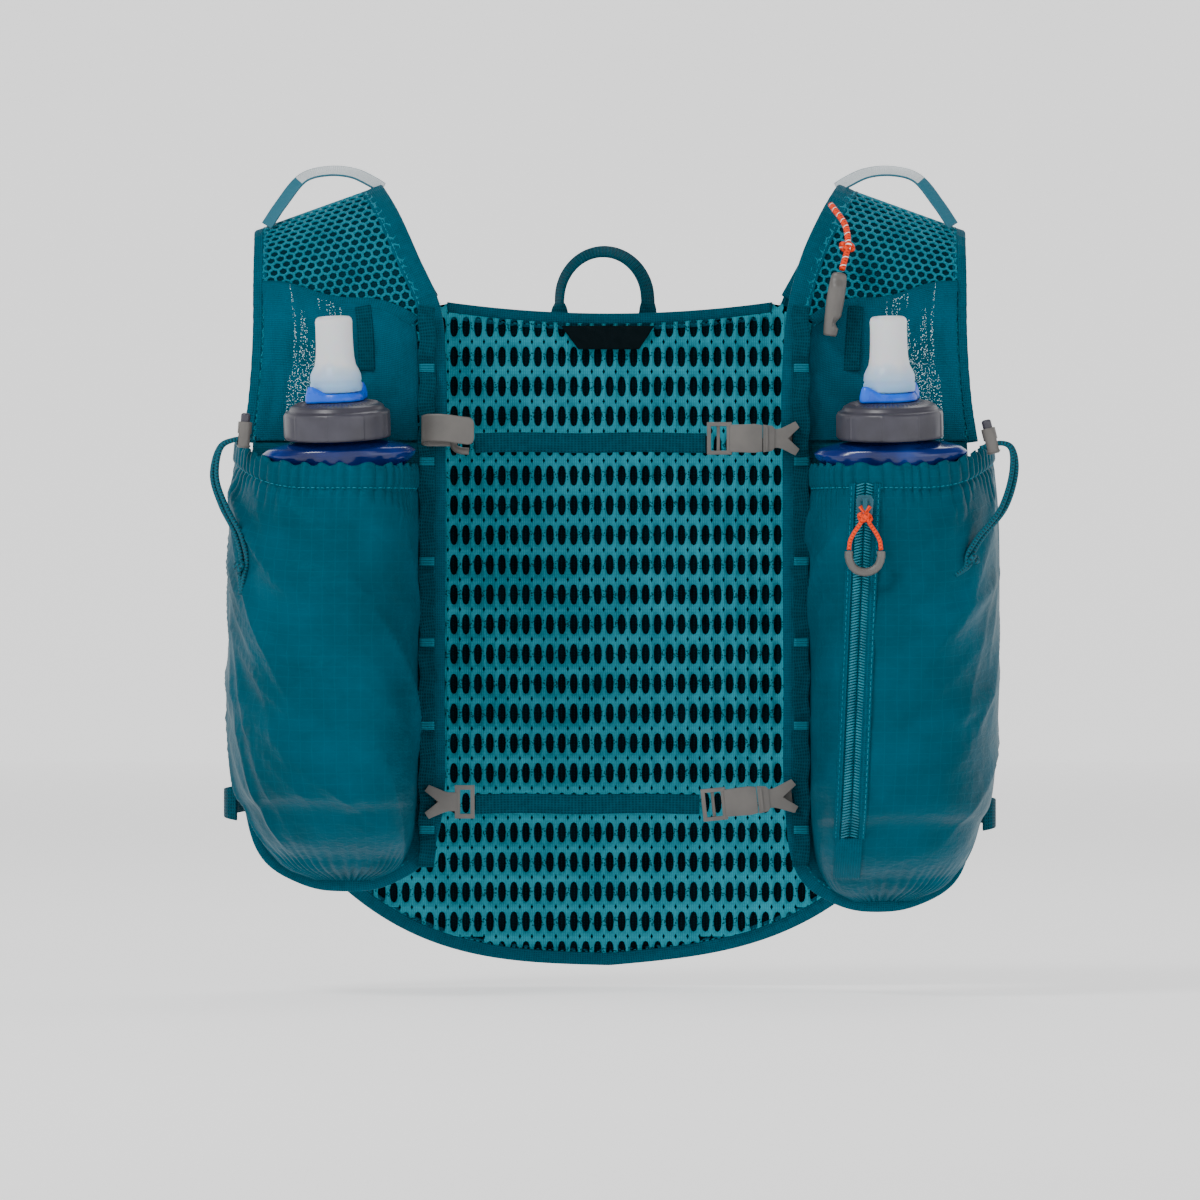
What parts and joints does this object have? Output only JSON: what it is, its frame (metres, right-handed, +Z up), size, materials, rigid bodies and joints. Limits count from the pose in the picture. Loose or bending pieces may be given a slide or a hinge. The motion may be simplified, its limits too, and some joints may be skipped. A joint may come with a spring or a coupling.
{
  "type": "hydration running vest",
  "caption": "Running hydration vest with soft flasks in chest pockets, mesh back panel, sternum straps, zip pocket and whistle.",
  "frame": {"origin": "on the mid-plane, level with the top of the shoulder crest, halfway between chest and back", "axes": "+X to the viewer's right in a front view, -Y is the wearer's front, +Z up"},
  "size_m": [0.3865, 0.2206, 0.3899],
  "materials": {
    "spacer_mesh": "woven or knitted textile",
    "stretch_knit": "woven or knitted textile",
    "ripstop": "woven or knitted textile",
    "binding": "woven or knitted textile",
    "webbing": "woven or knitted textile",
    "label": "woven or knitted textile",
    "shoulder_net": "woven or knitted textile",
    "reflective_ribbon": "woven or knitted textile",
    "zip_coil": "moulded, satin",
    "zip_metal": "painted die-cast",
    "orange_cord": "woven or knitted textile",
    "grey_plastic": "moulded, satin",
    "flask_film": "moulded, smooth",
    "cap_plastic": "moulded, smooth",
    "lever_plastic": "moulded, smooth",
    "valve_silicone": "translucent silicone",
    "teal_cord": "woven or knitted textile"
  },
  "bodies": {
    "vest": {"back_spacer_mesh": "spacer_mesh", "back_shell": "stretch_knit", "back_stash_pocket": "ripstop", "hem_binding": "binding", "neck_binding": "binding", "haul_loop": "webbing", "collar_label": "label", "shoulder_yoke_left": "shoulder_net", "shoulder_yoke_right": "shoulder_net", "front_panel_left": "stretch_knit", "front_panel_right": "stretch_knit", "flask_pocket_left": "ripstop", "flask_pocket_right": "ripstop", "stretch_pocket_left": "stretch_knit", "stretch_pocket_right": "stretch_knit", "ladder_webbing_left": "webbing", "ladder_webbing_right": "webbing", "neck_edge_binding_left": "binding", "neck_edge_binding_right": "binding", "arm_binding_left": "binding", "arm_binding_right": "binding", "panel_binding_left": "binding", "panel_binding_right": "binding", "shoulder_loop_left": "reflective_ribbon", "shoulder_loop_right": "reflective_ribbon", "side_panel_left": "stretch_knit", "side_panel_right": "stretch_knit", "side_strap_left": "webbing", "side_strap_right": "webbing", "zipper_tape": "binding", "zipper_coil": "zip_coil", "drawcord_left": "teal_cord", "drawcord_right": "teal_cord"},
    "upper_strap": {"upper_tube_clip": "grey_plastic", "upper_strap_webbing": "webbing", "upper_buckle_female": "grey_plastic"},
    "upper_male": {"upper_buckle_male": "grey_plastic"},
    "lower_strap": {"lower_anchor_clip": "grey_plastic", "lower_strap_webbing": "webbing", "lower_buckle_female": "grey_plastic"},
    "lower_male": {"lower_buckle_male": "grey_plastic"},
    "flask_left": {"flask_body_left": "flask_film"},
    "cap_left": {"flask_cap_left": "cap_plastic", "bite_valve_left": "valve_silicone"},
    "lever_left": {"valve_lever_left": "lever_plastic"},
    "flask_right": {"flask_body_right": "flask_film"},
    "cap_right": {"flask_cap_right": "cap_plastic", "bite_valve_right": "valve_silicone"},
    "lever_right": {"valve_lever_right": "lever_plastic"},
    "zip_slider": {"zipper_slider": "zip_metal"},
    "zip_pull": {"zipper_pull_cord": "orange_cord", "zipper_pull_grip": "grey_plastic"},
    "lock_left": {"cord_lock_barrel_left": "grey_plastic"},
    "button_left": {"cord_lock_button_left": "grey_plastic"},
    "lock_right": {"cord_lock_barrel_right": "grey_plastic"},
    "button_right": {"cord_lock_button_right": "grey_plastic"},
    "whistle": {"whistle": "grey_plastic", "whistle_cord": "orange_cord"}
  },
  "joints": [
    {"name": "upper_strap_slide", "type": "slide", "parent": "vest", "child": "upper_strap", "axis": [0, 0, 1], "range_m": [0, 0.016]},
    {"name": "upper_release", "type": "slide", "parent": "upper_strap", "child": "upper_male", "axis": [-1, 0, 0], "range_m": [0, 0.016], "deforming": ["upper_strap_webbing"]},
    {"name": "lower_strap_slide", "type": "slide", "parent": "vest", "child": "lower_strap", "axis": [0, 0, 1], "range_m": [0, 0.014]},
    {"name": "lower_release", "type": "slide", "parent": "lower_strap", "child": "lower_male", "axis": [-0.9945, 0, -0.1045], "range_m": [0, 0.016], "deforming": ["lower_strap_webbing"]},
    {"name": "flask_lift_left", "type": "slide", "parent": "vest", "child": "flask_left", "axis": [-0.0349, -0.1045, 0.9939], "range_m": [0, 0.15]},
    {"name": "cap_turn_left", "type": "hinge", "parent": "flask_left", "child": "cap_left", "pos_m": [-0.13, -0.092, -0.1245], "axis": [-0.0349, -0.1045, 0.9939], "range_deg": [0, 360]},
    {"name": "lever_turn_left", "type": "hinge", "parent": "cap_left", "child": "lever_left", "pos_m": [-0.13, -0.092, -0.1245], "axis": [-0.0349, -0.1045, 0.9939], "range_deg": [0, 90]},
    {"name": "lock_slide_left", "type": "slide", "parent": "vest", "child": "lock_left", "axis": [-0.9976, 0, 0.0698], "range_m": [0, 0.003]},
    {"name": "lock_press_left", "type": "slide", "parent": "lock_left", "child": "button_left", "axis": [-0.0698, 0, -0.9976], "range_m": [0, 0.002], "stiffness_N_per_m": 500},
    {"name": "flask_lift_right", "type": "slide", "parent": "vest", "child": "flask_right", "axis": [-0.0209, -0.1045, 0.9943], "range_m": [0, 0.15]},
    {"name": "cap_turn_right", "type": "hinge", "parent": "flask_right", "child": "cap_right", "pos_m": [0.134, -0.092, -0.1245], "axis": [-0.0209, -0.1045, 0.9943], "range_deg": [0, 360]},
    {"name": "lever_turn_right", "type": "hinge", "parent": "cap_right", "child": "lever_right", "pos_m": [0.134, -0.092, -0.1245], "axis": [-0.0209, -0.1045, 0.9943], "range_deg": [0, 90]},
    {"name": "lock_slide_right", "type": "slide", "parent": "vest", "child": "lock_right", "axis": [0.9703, 0, 0.2419], "range_m": [0, 0.003]},
    {"name": "lock_press_right", "type": "slide", "parent": "lock_right", "child": "button_right", "axis": [0.2419, 0, -0.9703], "range_m": [0, 0.002], "stiffness_N_per_m": 500},
    {"name": "zip_slide", "type": "slide", "parent": "vest", "child": "zip_slider", "axis": [-0.0424, 0, -0.9991], "range_m": [0, 0.14]},
    {"name": "zip_pull_swing", "type": "hinge", "parent": "zip_slider", "child": "zip_pull", "pos_m": [0.1207, -0.134, -0.1564], "axis": [-1, 0, 0], "range_deg": [0, 150]},
    {"name": "whistle_swing", "type": "hinge", "parent": "vest", "child": "whistle", "pos_m": [0.107, -0.0335, -0.0105], "axis": [0, 1, 0], "range_deg": [-10, 3]}
  ]
}
